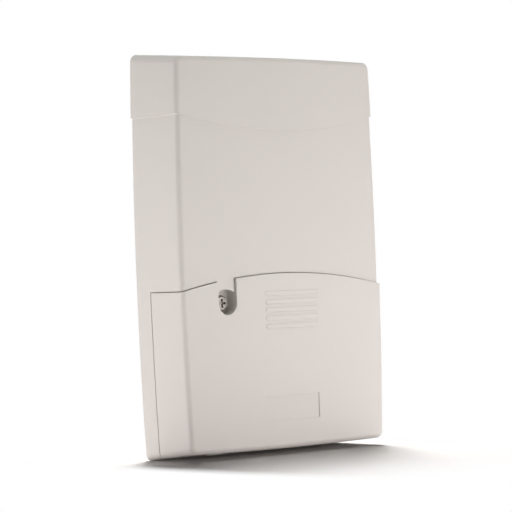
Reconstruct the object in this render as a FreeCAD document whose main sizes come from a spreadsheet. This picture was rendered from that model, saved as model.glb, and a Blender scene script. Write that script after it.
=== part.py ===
import FreeCAD, Part
import math
import os
import re

import Sketcher
from FreeCAD import Placement, Rotation, Vector

# Wireless zone expander: a wall box with an upper and a lower cover over a back plate and a circuit board.
# Frame: X to the right seen from the front, Y into the wall, Z up, in millimetres.
# The origin lies under the middle of the box, level with its lowest edge.

SIZES = {
    # Outer form: the outline on the wall, drawn in towards the front
    "overall_depth": 28.0,
    "body_height": 150.0,
    "body_width": 96.0,
    "side_draft": 0.2,
    "top_setback": 3.0,
    "bottom_setback": 2.9,
    "side_bow": 1.6,
    "top_bow": 0.7,
    "bottom_bow": 0.6,
    "outline_corner_radius": 2.2,
    "front_edge_radius": 1.8,
    "smallest_radius": 0.3,
    "cover_wall": 2.0,
    # Cap: the upper end of the upper cover, which stands proud above a curved edge
    "cap_proud_side": 0.7,
    "cap_proud_front": 0.3,
    "cap_edge_z": 120.9,
    "cap_edge_rise": 5.7,
    # Lower cover, its arched seam and the band of the upper cover behind it
    "cover_proud_side": 0.6,
    "cover_proud_band": 0.05,
    "cover_proud_front": 1.0,
    "seam_z": 67.7,
    "seam_drop": 5.5,
    "seam_gap": 0.28,
    "band_depth": 8.0,
    "band_gap": 0.42,
    "tongue_thickness": 1.2,
    "tongue_reach": 3.0,
    "tongue_low_z": 6.0,
    "fit_gap": 0.2,
    # Screw well in the lower cover, and the tab that closes its upper end
    "well_x": -27.7,
    "well_z": 57.2,
    "well_radius": 4.3,
    "well_depth": 5.4,
    "well_wall": 1.2,
    "well_floor": 1.6,
    "well_top_z": 62.9,
    "tab_bottom_z": 62.2,
    "tab_arch_radius": 8.0,
    "tab_gap": 0.25,
    # Grip ribs and the plain shallow recess
    "rib_count": 5,
    "rib_height": 0.22,
    "rib_width": 26.0,
    "rib_thickness": 1.9,
    "rib_pitch": 3.05,
    "rib_top_z": 61.0,
    "rib_center_x": 3.0,
    "rib_slope": 0.22,
    "recess_width": 26.0,
    "recess_height": 9.2,
    "recess_depth": 0.3,
    "recess_center_x": 1.7,
    "recess_bottom_z": 12.9,
    # Hooks that hold the foot of the lower cover
    "hook_x": 24.0,
    "hook_width": 8.0,
    "hook_thickness": 1.8,
    "hook_reach": 4.0,
    "hook_root": 4.0,
    # Back plate with its posts, slots, cable entry and clips
    "plate_thickness": 2.4,
    "post_radius": 3.2,
    "post_height": 7.0,
    "post_x": 37.0,
    "post_low_z": 41.0,
    "post_high_z": 125.0,
    "boss_radius": 3.7,
    "boss_gap": 0.1,
    "keyhole_x": 25.0,
    "keyhole_z": 112.0,
    "keyhole_entry_radius": 4.5,
    "slot_radius": 2.25,
    "keyhole_rise": 8.0,
    "slot_x": 25.0,
    "slot_z": 24.0,
    "slot_length": 9.0,
    "entry_width": 26.0,
    "entry_height": 14.0,
    "entry_z": 20.0,
    "knockout_radius": 8.0,
    "knockout_z": 76.0,
    "groove_width": 0.8,
    "groove_web": 0.6,
    "clip_low_z": 26.0,
    "clip_high_z": 104.0,
    "clip_width": 8.0,
    "clip_thickness": 1.4,
    "clip_nose": 1.0,
    "ledge_depth": 1.5,
    "ledge_reach": 1.2,
    "ledge_setback": 1.8,
    # Screws
    "screw_radius": 1.5,
    "screw_head_radius": 3.0,
    "screw_head_height": 1.9,
    "screw_length": 12.0,
    "screw_hole_gap": 0.25,
    "thread_gap": 0.05,
    "recess_arm": 3.2,
    "recess_slot": 0.8,
    "recess_sink": 1.1,
    "board_screw_radius": 1.25,
    "board_screw_head_radius": 2.4,
    "board_screw_head_height": 1.6,
    "board_screw_length": 6.0,
    # Main circuit board
    "board_width": 82.0,
    "board_low_z": 36.0,
    "board_high_z": 130.0,
    "board_thickness": 1.6,
    "board_hole_gap": 0.6,
    # Bus terminal block along the lower edge of the board
    "way_count": 5,
    "way_pitch": 5.0,
    "terminal_x": 8.0,
    "terminal_z": 38.0,
    "terminal_height": 8.4,
    "terminal_depth": 9.6,
    "terminal_end_wall": 0.6,
    "wire_hole_width": 3.4,
    "wire_hole_depth": 3.2,
    "wire_hole_offset": 2.2,
    "clamp_wall": 0.5,
    "clamp_length": 4.6,
    "terminal_screw_radius": 1.1,
    "terminal_head_radius": 1.7,
    "terminal_head_height": 1.4,
    "terminal_well_radius": 1.9,
    "terminal_well_depth": 2.6,
    # Tamper switch under the lower cover
    "tamper_x": 30.0,
    "tamper_z": 54.0,
    "switch_width": 6.4,
    "switch_depth": 6.0,
    "switch_floor": 0.6,
    "switch_bore_radius": 1.9,
    "plunger_radius": 1.3,
    "flange_radius": 1.8,
    "flange_thickness": 0.7,
    "plunger_gap": 0.08,
    "plunger_reach": 3.5,
    "plunger_release": 1.0,
    "post_gap": 0.1,
    "cover_post_radius": 2.2,
    "spring_wire": 0.5,
    "spring_radius": 1.25,
    "spring_turns": 3.5,
    # Receiver module above the processor
    "receiver_x": -11.0,
    "receiver_low_z": 98.0,
    "receiver_width": 34.0,
    "receiver_height": 26.0,
    "receiver_board_thickness": 1.0,
    "receiver_standoff": 2.5,
    "header_pins": 8,
    "pin_pitch": 2.54,
    "pin_side": 0.64,
    "pin_end": 0.5,
    "header_width": 2.5,
    "header_inset": 1.2,
    "shield_width": 24.0,
    "shield_height": 15.0,
    "shield_depth": 3.0,
    "shield_wall": 0.3,
    "shield_top_inset": 2.0,
    # Wire antennas
    "antenna_x": 33.0,
    "antenna_foot_z": 66.0,
    "antenna_tip_gap": 5.0,
    "antenna_radius": 0.5,
    "antenna_standoff": 4.5,
    "antenna_bend_radius": 2.0,
    # Processor and memory
    "processor_drop": 12.0,
    "processor_side": 10.0,
    "processor_height": 1.6,
    "lead_rows": 11,
    "lead_pitch": 0.8,
    "lead_width": 0.36,
    "lead_reach": 1.1,
    "lead_thickness": 0.25,
    "memory_x": -19.0,
    "memory_drop": 2.0,
    "memory_width": 4.0,
    "memory_height": 5.0,
    "memory_thickness": 1.5,
    "memory_leads": 4,
    "memory_pitch": 1.27,
    # Crystal, regulator, capacitors, lamps and jumpers
    "crystal_x": 16.0,
    "crystal_z": 86.0,
    "crystal_width": 4.4,
    "crystal_length": 11.0,
    "crystal_height": 3.6,
    "regulator_x": 22.0,
    "regulator_z": 64.0,
    "regulator_width": 6.6,
    "regulator_length": 6.1,
    "regulator_height": 2.3,
    "regulator_tab": 1.4,
    "big_capacitor_x": 22.0,
    "big_capacitor_z": 76.0,
    "big_capacitor_radius": 4.0,
    "big_capacitor_height": 9.0,
    "small_capacitor_x": 22.0,
    "small_capacitor_z": 96.0,
    "small_capacitor_pitch": 8.0,
    "small_capacitor_radius": 2.5,
    "small_capacitor_height": 6.0,
    "capacitor_groove": 0.3,
    "capacitor_groove_height": 1.2,
    "lamp_count": 3,
    "lamp_x": -4.0,
    "lamp_z": 68.0,
    "lamp_pitch": 6.0,
    "lamp_radius": 1.5,
    "lamp_height": 4.2,
    "lamp_rim": 0.3,
    "lamp_rim_height": 0.9,
    "jumper_x": -12.0,
    "jumper_z": 58.0,
    "jumper_count": 3,
    "jumper_base": 2.5,
    "jumper_pin_height": 6.0,
    "jumper_cap_height": 5.0,
    "jumper_cap_gap": 0.1,
    "chip_length": 2.0,
    "chip_width": 1.2,
    "chip_height": 0.6,
    "chip_count": 6,
    "chip_pitch": 3.2,
    "chip_row_x": -30.0,
    "chip_row_drop": 10.0,
    "chip_column_x": 33.0,
    "chip_column_z": 76.0,
}

PLACES = {
    "wall_y": "overall_depth / 2",
    "cover_front_y": "rib_height - overall_depth / 2",
    "body_front_y": "cover_front_y + cover_proud_front",
    "cap_front_y": "body_front_y - cap_proud_front",
    "cover_inner_y": "cover_front_y + cover_wall",
    "body_inner_y": "body_front_y + cover_wall",
    "band_y": "wall_y - band_depth",
    "plate_front_y": "wall_y - plate_thickness",
    "board_back_y": "plate_front_y - post_height",
    "board_front_y": "board_back_y - board_thickness",
    "well_floor_y": "cover_front_y + well_depth",
    "well_back_y": "well_floor_y + well_floor",
    "boss_front_y": "well_back_y + boss_gap",
    "screw_hole_radius": "screw_radius + screw_hole_gap",
    "switch_front_y": "board_front_y - switch_depth",
    "shoulder_y": "switch_front_y + switch_floor",
    "flange_front_y": "shoulder_y + plunger_release",
    "plunger_tip_y": "switch_front_y - plunger_reach",
    "receiver_back_y": "board_front_y - receiver_standoff",
    "receiver_front_y": "receiver_back_y - receiver_board_thickness",
    "receiver_high_z": "receiver_low_z + receiver_height",
    "header_z": "receiver_low_z + header_inset + header_width / 2",
    "processor_z": "receiver_low_z - processor_drop",
    "memory_z": "processor_z - memory_drop",
    "chip_row_z": "processor_z - chip_row_drop",
    "antenna_tip_z": "body_height - top_setback - cover_wall - antenna_tip_gap",
    "terminal_width": "way_count * way_pitch + 2 * terminal_end_wall",
    "terminal_front_y": "board_front_y - terminal_depth",
    "clamp_y": "board_front_y - wire_hole_offset - wire_hole_depth",
}

# Which way a piece's own Z axis points once it is placed
TURNS = {
    "up": Rotation(),
    "front": Rotation(Vector(1, 0, 0), 90),
    "back": Rotation(Vector(1, 0, 0), -90),
}

# A side with no bow is handled as an arc of this radius while its corners are worked out
FLAT_RADIUS = 1e6
CORNER_STEPS = 6
# How far a cutting tool runs past the face that it cuts, and how near two depths count as the same
OVERRUN = 1.0
CLOSE = 0.01

doc = FreeCAD.newDocument("zone_expander")
sheet = doc.addObject("Spreadsheet::Sheet", "Sizes")
for row, (alias, number) in enumerate(SIZES.items(), start=1):
    sheet.set(f"A{row}", alias)
    sheet.set(f"B{row}", str(number))
    sheet.setAlias(f"B{row}", alias)
doc.recompute()

nodes = {}


def formula(text):
    """Text with the names of sizes and places turned into references to the sheet."""
    def reference(match):
        word = match.group(0)
        if word in SIZES:
            return "Sizes." + word
        if word in PLACES:
            return "(" + formula(PLACES[word]) + ")"
        return word
    return re.sub(r"[a-z][a-z_]*", reference, str(text))


def value(text):
    return float(sheet.evalExpression(formula(text)))


def whole(name):
    return int(round(value(name)))


def place(piece, corner):
    for axis, text in zip("xyz", corner):
        piece.setExpression("Placement.Base." + axis, formula(text))


def keep(piece, name):
    """Make a finished piece a node of the object."""
    piece.Label = name
    nodes[name] = piece


# Primitives and booleans


def box(name, size, corner):
    piece = doc.addObject("Part::Box", name)
    for side, text in zip(("Length", "Width", "Height"), size):
        piece.setExpression(side, formula(text))
    place(piece, corner)
    return piece


def rod(name, radius, length, start, turn="front"):
    piece = doc.addObject("Part::Cylinder", name)
    piece.setExpression("Radius", formula(radius))
    piece.setExpression("Height", formula(length))
    piece.Placement = Placement(Vector(), TURNS[turn])
    place(piece, start)
    return piece


def fused(name, pieces):
    piece = doc.addObject("Part::MultiFuse", name)
    piece.Shapes = pieces
    return piece


def cut(name, base, tools):
    piece = doc.addObject("Part::Cut", name)
    piece.Base = base
    piece.Tool = tools[0] if len(tools) == 1 else fused(name + "_tools", tools)
    return piece


def grouped(name, pieces):
    piece = doc.addObject("Part::Compound", name)
    piece.Links = pieces
    return piece


def shaped(name, shape):
    piece = doc.addObject("Part::Feature", name)
    piece.Shape = shape
    return piece


# Bodies made from sketches


def sketch_in(body, role, name):
    sketch = body.newObject("Sketcher::SketchObject", name)
    plane = next(item for item in body.Origin.OriginFeatures if item.Role == role)
    sketch.AttachmentSupport = [(plane, "")]
    sketch.MapMode = "FlatFace"
    return sketch


def bind_point(sketch, geometry, end, point):
    """Hold one point of a sketch at a distance from its origin, or on an axis where that distance is 0."""
    for kind, axis, text in (("DistanceX", -2, point[0]), ("DistanceY", -1, point[1])):
        if text == "0":
            sketch.addConstraint(Sketcher.Constraint("PointOnObject", geometry, end, axis))
        else:
            held = sketch.addConstraint(Sketcher.Constraint(kind, -1, 1, geometry, end, value(text)))
            sketch.setExpression(f"Constraints[{held}]", formula(text))


def draw_polygon(sketch, points):
    spots = [Vector(value(x), value(y), 0) for x, y in points]
    lines = [sketch.addGeometry(Part.LineSegment(spots[i], spots[(i + 1) % len(spots)]), False)
             for i in range(len(spots))]
    for here, line in enumerate(lines):
        sketch.addConstraint(Sketcher.Constraint("Coincident", line, 2, lines[(here + 1) % len(lines)], 1))
        bind_point(sketch, line, 1, points[here])


def draw_circle(sketch, center, radius):
    circle = Part.Circle(Vector(value(center[0]), value(center[1]), 0), Vector(0, 0, 1), value(radius))
    ring = sketch.addGeometry(circle, False)
    bind_point(sketch, ring, 3, center)
    held = sketch.addConstraint(Sketcher.Constraint("Radius", ring, value(radius)))
    sketch.setExpression(f"Constraints[{held}]", formula(radius))


def lathe(name, profile, start, turn="front"):
    """A turned piece: the profile's points are distances from the axis and along it."""
    body = doc.addObject("PartDesign::Body", name)
    sketch = sketch_in(body, "XZ_Plane", name + "_profile")
    draw_polygon(sketch, profile)
    doc.recompute()
    turned = body.newObject("PartDesign::Revolution", name + "_turned")
    turned.Profile = sketch
    turned.ReferenceAxis = (sketch, ["V_Axis"])
    turned.Angle = 360
    body.Placement = Placement(Vector(), TURNS[turn])
    place(body, start)
    return body


def sunk_cross(body, name, top):
    """Cut a cross recess down into the flat top of a turned screw."""
    sketch = sketch_in(body, "XY_Plane", name)
    sketch.setExpression("AttachmentOffset.Base.z", formula(top))
    arm = "recess_arm / 2"
    slot = "recess_slot / 2"
    quarter = [(arm, slot), (slot, slot), (slot, arm)]
    cross = []
    for sign_x, sign_y in ((1, 1), (-1, 1), (-1, -1), (1, -1)):
        corner = [(f"{sign_x} * {x}", f"{sign_y} * {y}") for x, y in quarter]
        cross += corner if sign_x == sign_y else corner[::-1]
    draw_polygon(sketch, cross)
    doc.recompute()
    before = body.Shape.Volume
    pocket = body.newObject("PartDesign::Pocket", name + "_pocket")
    pocket.Profile = sketch
    pocket.setExpression("Length", formula("recess_sink"))
    doc.recompute()
    if body.Shape.Volume >= before:
        raise ValueError(name + " cuts nothing")


# The form that the covers and the back plate share


def bowed_side(middle, outward, chord, bow):
    """One side of the outline: its outermost point, and the centre and radius of its wide arc."""
    radius = (chord ** 2 / 4 + bow ** 2) / (2 * bow) if bow > 0 else FLAT_RADIUS
    return {"middle": middle, "center": middle - outward * radius, "radius": radius, "flat": bow == 0}


def corner_center(first, second, radius, start):
    """Centre of the corner arc that touches two sides from the inside."""
    spot = start
    for _ in range(CORNER_STEPS):
        to_first = spot - first["center"]
        to_second = spot - second["center"]
        miss_first = first["radius"] - radius - to_first.Length
        miss_second = second["radius"] - radius - to_second.Length
        ray_first = to_first / to_first.Length
        ray_second = to_second / to_second.Length
        turn = ray_first.x * ray_second.z - ray_first.z * ray_second.x
        spot += Vector((miss_first * ray_second.z - miss_second * ray_first.z) / turn, 0,
                       (miss_second * ray_first.x - miss_first * ray_second.x) / turn)
    return spot


def forward_share(y):
    """How far a depth lies on the way from the wall, at 0, to the front of the body, at 1."""
    return (value("wall_y") - y) / value("wall_y - body_front_y")


def half_width(y, grow):
    return value("body_width / 2") + value("side_draft") * (1 - forward_share(y)) + grow


def outline(y, grow):
    """The bowed outline at depth y, grown outwards, as a wire of four wide arcs and four corner arcs."""
    forward = forward_share(y)
    half = half_width(y, grow)
    low = value("bottom_setback") * forward - grow
    high = value("body_height") - value("top_setback") * forward + grow
    low_bow = value("bottom_bow") * max(forward, 0)
    low_corner = low + low_bow
    high_corner = high - value("top_bow")
    middle = (low_corner + high_corner) / 2
    width = 2 * (half - value("side_bow"))
    height = high_corner - low_corner
    sides = [
        bowed_side(Vector(0, y, low), Vector(0, 0, -1), width, low_bow),
        bowed_side(Vector(half, y, middle), Vector(1, 0, 0), height, value("side_bow")),
        bowed_side(Vector(0, y, high), Vector(0, 0, 1), width, value("top_bow")),
        bowed_side(Vector(-half, y, middle), Vector(-1, 0, 0), height, value("side_bow")),
    ]
    corners = [Vector(width / 2, y, low_corner), Vector(width / 2, y, high_corner),
               Vector(-width / 2, y, high_corner), Vector(-width / 2, y, low_corner)]
    radius = max(value("outline_corner_radius") + grow, value("smallest_radius"))
    center = Vector(0, y, middle)
    arcs = []
    touches = []
    for number, corner in enumerate(corners):
        pair = (sides[number], sides[(number + 1) % 4])
        spot = corner_center(*pair, radius, corner + (center - corner) * (radius / height))
        ends = [side["center"] + (spot - side["center"]) * (side["radius"] / (spot - side["center"]).Length)
                for side in pair]
        bulge = (ends[0] + ends[1]) / 2 - spot
        arcs.append(Part.Arc(ends[0], spot + bulge * (radius / bulge.Length), ends[1]).toShape())
        touches.append(ends)
    edges = []
    for number, side in enumerate(sides):
        start = touches[number - 1][1]
        end = touches[number][0]
        if side["flat"]:
            edges.append(Part.LineSegment(start, end).toShape())
        else:
            edges.append(Part.Arc(start, side["middle"], end).toShape())
        edges.append(arcs[number])
    return Part.Wire(edges)


def form(front_y, back_y, grow, edge_radius=0, back_grow=None):
    """The solid between the outlines at two depths, with its front edge rounded."""
    if back_grow is None:
        back_grow = grow
    solid = Part.makeLoft([outline(front_y, grow), outline(back_y, back_grow)], True, True)
    if edge_radius > 0:
        rim = [edge for edge in solid.Edges
               if abs(edge.BoundBox.YMin - front_y) < CLOSE and abs(edge.BoundBox.YMax - front_y) < CLOSE]
        solid = solid.makeFillet(edge_radius, rim)
    return solid


def arch_z(x, middle_z, drop):
    """Height of an arched line that falls by drop at the body's half width."""
    half = value("body_width / 2")
    radius = (half ** 2 + drop ** 2) / (2 * abs(drop))
    return middle_z - math.copysign(radius - math.sqrt(radius ** 2 - x ** 2), drop)


def below_arch(middle_z, drop, front_y, back_y):
    """Everything under an arched line, as a solid from one depth to another."""
    reach = value("body_width / 2 + side_draft + cap_proud_side + cover_proud_side") + OVERRUN
    base = -value("body_height")
    end_z = arch_z(reach, middle_z, drop)
    spots = [Vector(-reach, front_y, end_z), Vector(0, front_y, middle_z), Vector(reach, front_y, end_z)]
    arch = Part.Arc(*spots).toShape()
    feet = [Vector(reach, front_y, base), Vector(-reach, front_y, base)]
    sides = Part.makePolygon([spots[2]] + feet + [spots[0]])
    face = Part.Face(Part.Wire([arch] + sides.Edges))
    return face.extrude(Vector(0, back_y - front_y, 0))


def block(x, y, z):
    """A box between two limits on each axis."""
    return Part.makeBox(x[1] - x[0], y[1] - y[0], z[1] - z[0], Vector(x[0], y[0], z[0]))


def well_prism(radius, top_z, front_y, back_y):
    """A U shape round the screw well's axis, open upwards to top_z."""
    x = value("well_x")
    z = value("well_z")
    round_end = Part.makeCylinder(radius, back_y - front_y, Vector(x, front_y, z), Vector(0, 1, 0))
    straight = block((x - radius, x + radius), (front_y, back_y), (z, top_z))
    return round_end.fuse(straight).removeSplitter()


def side_x(z, y, grow):
    """How far out the bowed side lies at height z and depth y."""
    middle = value("body_height / 2")
    radius = bowed_side(Vector(), Vector(1, 0, 0), 2 * middle, value("side_bow"))["radius"]
    return half_width(y, grow) - radius + math.sqrt(radius ** 2 - (z - middle) ** 2)


OUTSIDE = value("overall_depth")
FRONT_LIMIT = -OUTSIDE
CLIP_HEIGHTS = ("clip_low_z", "clip_high_z")


# Upper cover: front, top, sides and the band on the wall, all one moulding


def upper_cover_shape():
    wall_y = value("wall_y")
    body_front = value("body_front_y")
    band_y = value("band_y")
    edge = value("front_edge_radius")
    body = form(body_front, wall_y, 0, edge)
    cap = form(value("cap_front_y"), wall_y, value("cap_proud_side"), edge)
    cap = cap.cut(below_arch(value("cap_edge_z"), -value("cap_edge_rise"), FRONT_LIMIT, OUTSIDE))
    hollow = form(value("body_inner_y"), wall_y + OVERRUN, -value("cover_wall"))
    opening = below_arch(value("seam_z"), value("seam_drop"), FRONT_LIMIT, band_y)
    shell = body.fuse(cap).cut(hollow).cut(opening.cut(well_tab()))
    return shell.fuse([seam_tongue()] + clip_ledges()).removeSplitter()


def well_tab():
    """The tab of the upper cover that reaches down into the mouth of the screw well."""
    x = value("well_x")
    half = value("well_radius - tab_gap")
    bottom = value("tab_bottom_z")
    depths = (value("body_front_y"), value("body_inner_y"))
    radius = value("tab_arch_radius")
    tab = block((x - half, x + half), depths, (bottom - radius / 2, value("seam_z") + OVERRUN))
    start = Vector(x, depths[0] - OVERRUN, bottom - radius)
    scoop = Part.makeCylinder(radius, OUTSIDE, start, Vector(0, 1, 0))
    return tab.cut(scoop)


def seam_tongue():
    """A lip of the upper cover that backs the seam of the lower cover."""
    outer_grow = value("cover_proud_side - cover_wall - fit_gap")
    inner_grow = outer_grow - value("tongue_thickness")
    outer_y = value("cover_inner_y + fit_gap")
    inner_y = outer_y + value("tongue_thickness")
    band_y = value("band_y")
    reach = value("tongue_reach")
    overlap = value("cover_wall")
    lip = form(outer_y, band_y + overlap, outer_grow).cut(form(inner_y, band_y + overlap, inner_grow))
    beside_seam = below_arch(value("seam_z") + overlap, value("seam_drop"), FRONT_LIMIT, band_y + overlap)
    beside_seam = beside_seam.cut(below_arch(value("seam_z") - reach, value("seam_drop"),
                                             FRONT_LIMIT, band_y - reach))
    lip = lip.common(beside_seam)
    across = (-value("body_width"), value("body_width"))
    clip_z = value("clip_low_z")
    clip_room = value("clip_width / 2 + fit_gap")
    lip = lip.cut(block(across, (FRONT_LIMIT, OUTSIDE), (-OVERRUN, value("tongue_low_z"))))
    lip = lip.cut(block(across, (FRONT_LIMIT, OUTSIDE), (clip_z - clip_room, clip_z + clip_room)))
    cup_room = value("well_radius + well_wall + fit_gap")
    return lip.cut(well_prism(cup_room, value("well_top_z + well_wall + fit_gap"), FRONT_LIMIT, OUTSIDE))


def clip_ledges():
    """Ledges on the side walls, behind which the back plate's clips catch."""
    back_y = value("plate_front_y - ledge_setback")
    front_y = back_y - value("ledge_depth")
    half = value("clip_width / 2")
    ledges = []
    for name in CLIP_HEIGHTS:
        z = value(name)
        wall_x = side_x(z, back_y, -value("cover_wall"))
        for side in (-1, 1):
            tip = side * (wall_x - value("ledge_reach"))
            root = side * (wall_x + value("cover_wall / 2"))
            ledges.append(block(sorted((tip, root)), (front_y, back_y), (z - half, z + half)))
    return ledges


# Lower cover: the part that comes off to reach the terminals


def lower_cover_shape():
    front_y = value("cover_front_y")
    inner_y = value("cover_inner_y")
    back_y = value("band_y - band_gap")
    grow = value("cover_proud_side")
    shell = form(front_y, back_y, grow, value("front_edge_radius"), value("cover_proud_band"))
    shell = shell.cut(form(inner_y, back_y + OVERRUN, grow - value("cover_wall")))
    shell = shell.common(below_arch(value("seam_z - seam_gap"), value("seam_drop"), FRONT_LIMIT, OUTSIDE))
    shell = shell.cut(well_prism(value("well_radius"), value("seam_z") + OVERRUN, FRONT_LIMIT,
                                 value("well_floor_y")))
    shell = shell.fuse([well_cup(), cover_post()] + cover_hooks() + grip_ribs())
    x = value("recess_center_x")
    half = value("recess_width / 2")
    low = value("recess_bottom_z")
    recess = block((x - half, x + half), (FRONT_LIMIT, front_y + value("recess_depth")),
                   (low, low + value("recess_height")))
    return shell.cut(recess).removeSplitter()


def well_cup():
    """The cup behind the screw well, whose floor the cover screw presses on."""
    front_y = value("cover_inner_y")
    floor_y = value("well_floor_y")
    back_y = value("well_back_y")
    radius = value("well_radius")
    top_z = value("well_top_z")
    cup = well_prism(radius + value("well_wall"), top_z + value("well_wall"), front_y, back_y)
    cup = cup.cut(well_prism(radius, top_z, front_y - OVERRUN, floor_y))
    x = value("well_x")
    behind_tab = (FRONT_LIMIT, value("body_inner_y + fit_gap"))
    cup = cup.cut(block((x - radius, x + radius), behind_tab, (top_z - OVERRUN, value("seam_z"))))
    start = Vector(x, front_y, value("well_z"))
    return cup.cut(Part.makeCylinder(value("screw_hole_radius"), OUTSIDE, start, Vector(0, 1, 0)))


def cover_post():
    """The post that presses the tamper plunger."""
    start = Vector(value("tamper_x"), value("cover_inner_y - cover_wall / 2"), value("tamper_z"))
    length = value("plunger_tip_y - post_gap") - start.y
    return Part.makeCylinder(value("cover_post_radius"), length, start, Vector(0, 1, 0))


def cover_hooks():
    """Two hooks that reach over the band at the foot of the upper cover."""
    band_y = value("band_y")
    root_y = band_y - value("band_gap")
    floor_z = value("cover_wall") + value("bottom_setback + bottom_bow") * forward_share(band_y)
    low_z = floor_z + value("fit_gap")
    high_z = low_z + value("hook_thickness")
    half = value("hook_width / 2")
    hooks = []
    for side in (-1, 1):
        x = side * value("hook_x")
        sides = (x - half, x + half)
        root = block(sides, (root_y - value("hook_root"), root_y), (floor_z - value("cover_wall"), high_z))
        arm = block(sides, (root_y - value("hook_root"), band_y + value("hook_reach")), (low_z, high_z))
        hooks.append(root.fuse(arm))
    return hooks


def bar_outline(x, y, z, reach, radius):
    """A level bar with round ends, as a wire at one depth."""
    high_left, high_right, low_right, low_left = (
        Vector(x + right * reach, y, z + up * radius) for right, up in ((-1, 1), (1, 1), (1, -1), (-1, -1)))
    return Part.Wire([
        Part.LineSegment(high_left, high_right).toShape(),
        Part.Arc(high_right, Vector(x + reach + radius, y, z), low_right).toShape(),
        Part.LineSegment(low_right, low_left).toShape(),
        Part.Arc(low_left, Vector(x - reach - radius, y, z), high_left).toShape(),
    ])


def grip_ribs():
    """Raised bars on the face for the thumb, with round ends and sloping flanks."""
    face_y = value("cover_front_y")
    x = value("rib_center_x")
    reach = value("(rib_width - rib_thickness) / 2")
    ribs = []
    for number in range(whole("rib_count")):
        z = value("rib_top_z - rib_thickness / 2") - number * value("rib_pitch")
        sections = [bar_outline(x, face_y + side * value("rib_height"), z, reach,
                                value("rib_thickness / 2") + side * value("rib_slope"))
                    for side in (-1, 1)]
        ribs.append(Part.makeLoft(sections, True, True))
    return ribs


# Back plate: the moulding that is screwed to the wall and carries the board


def plate_clips():
    """Four clips that catch on the ledges of the upper cover."""
    plate_y = value("plate_front_y")
    ledge_back = plate_y - value("ledge_setback")
    ledge_front = ledge_back - value("ledge_depth")
    nose_back = ledge_front - value("fit_gap")
    nose_front = nose_back - value("clip_thickness")
    half = value("clip_width / 2 - fit_gap")
    clips = []
    for name in CLIP_HEIGHTS:
        z = value(name)
        heights = (z - half, z + half)
        arm_x = side_x(z, ledge_back, -value("cover_wall")) - value("ledge_reach + fit_gap")
        for side in (-1, 1):
            arm = sorted((side * arm_x, side * (arm_x - value("clip_thickness"))))
            nose = sorted((side * (arm_x + value("clip_nose")), side * (arm_x - value("clip_thickness"))))
            clips.append(block(arm, (nose_front, plate_y + value("fit_gap")), heights))
            clips.append(block(nose, (nose_front, nose_back), heights))
    return clips


def board_post_spots():
    return [(side, height) for side in ("-post_x", "post_x") for height in ("post_low_z", "post_high_z")]


def back_plate():
    blank = form(value("plate_front_y"), value("wall_y"), -value("cover_wall + fit_gap"))
    blank = shaped("plate_blank", blank.fuse(plate_clips()).removeSplitter())
    root = "plate_front_y + plate_thickness / 2"
    posts = [rod("post", "post_radius", "post_height + plate_thickness / 2", (x, root, z))
             for x, z in board_post_spots()]
    posts.append(rod("cover_boss", "boss_radius", f"{root} - boss_front_y", ("well_x", root, "well_z")))
    through = f"plate_thickness + 2 * {OVERRUN}"
    start = f"wall_y + {OVERRUN}"
    front = f"plate_front_y - {OVERRUN}"
    holes = [rod("post_pilot", "board_screw_radius + thread_gap", "post_height", (x, "plate_front_y", z))
             for x, z in board_post_spots()]
    holes.append(rod("boss_pilot", "screw_radius + thread_gap", "screw_length",
                     ("well_x", "boss_front_y + screw_length", "well_z")))
    for side in (-1, 1):
        key_x = f"{side} * keyhole_x"
        holes.append(rod("keyhole_entry", "keyhole_entry_radius", through, (key_x, start, "keyhole_z")))
        holes.append(rod("keyhole_seat", "slot_radius", through, (key_x, start, "keyhole_z + keyhole_rise")))
        holes.append(box("keyhole_neck", ("2 * slot_radius", through, "keyhole_rise"),
                         (f"{key_x} - slot_radius", front, "keyhole_z")))
        slot_run = "slot_length / 2 - slot_radius"
        for end in (-1, 1):
            holes.append(rod("slot_end", "slot_radius", through,
                             (f"{side} * slot_x + {end} * ({slot_run})", start, "slot_z")))
        holes.append(box("slot_middle", (f"2 * ({slot_run})", through, "2 * slot_radius"),
                         (f"{side} * slot_x - ({slot_run})", front, "slot_z - slot_radius")))
    holes.append(box("cable_entry", ("entry_width", through, "entry_height"),
                     ("-entry_width / 2", front, "entry_z - entry_height / 2")))
    knockout = ("0", "wall_y", "knockout_z")
    ring = rod("knockout_ring", "knockout_radius", "plate_thickness - groove_web", knockout)
    core = rod("knockout_core", "knockout_radius - groove_width", "plate_thickness", knockout)
    holes.append(cut("knockout_groove", ring, [core]))
    keep(cut("plate", fused("plate_body", [blank] + posts), holes), "back_plate")


# Screws


def cross_screw(kind, start):
    """A pointed screw with a bevelled head and a cross recess; kind begins the names of its sizes."""
    parts = ("radius", "head_radius", "head_height", "length")
    shank, head, rise, length = (f"{kind}_{part}" for part in parts)
    profile = [("0", f"-{length}"), (shank, f"{shank} - {length}"), (shank, "0"), (head, "0"),
               (head, f"{rise} / 2"), (f"{head} - {rise} / 3", rise), ("0", rise)]
    screw = lathe(kind + "_turned", profile, start)
    sunk_cross(screw, kind + "_cross", rise)
    return screw


def screws():
    keep(cross_screw("screw", ("well_x", "well_floor_y", "well_z")), "cover_screw")
    keep(grouped("board_screw_set", [cross_screw("board_screw", (x, "board_front_y", z))
                                     for x, z in board_post_spots()]), "board_screws")


# Main board


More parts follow.
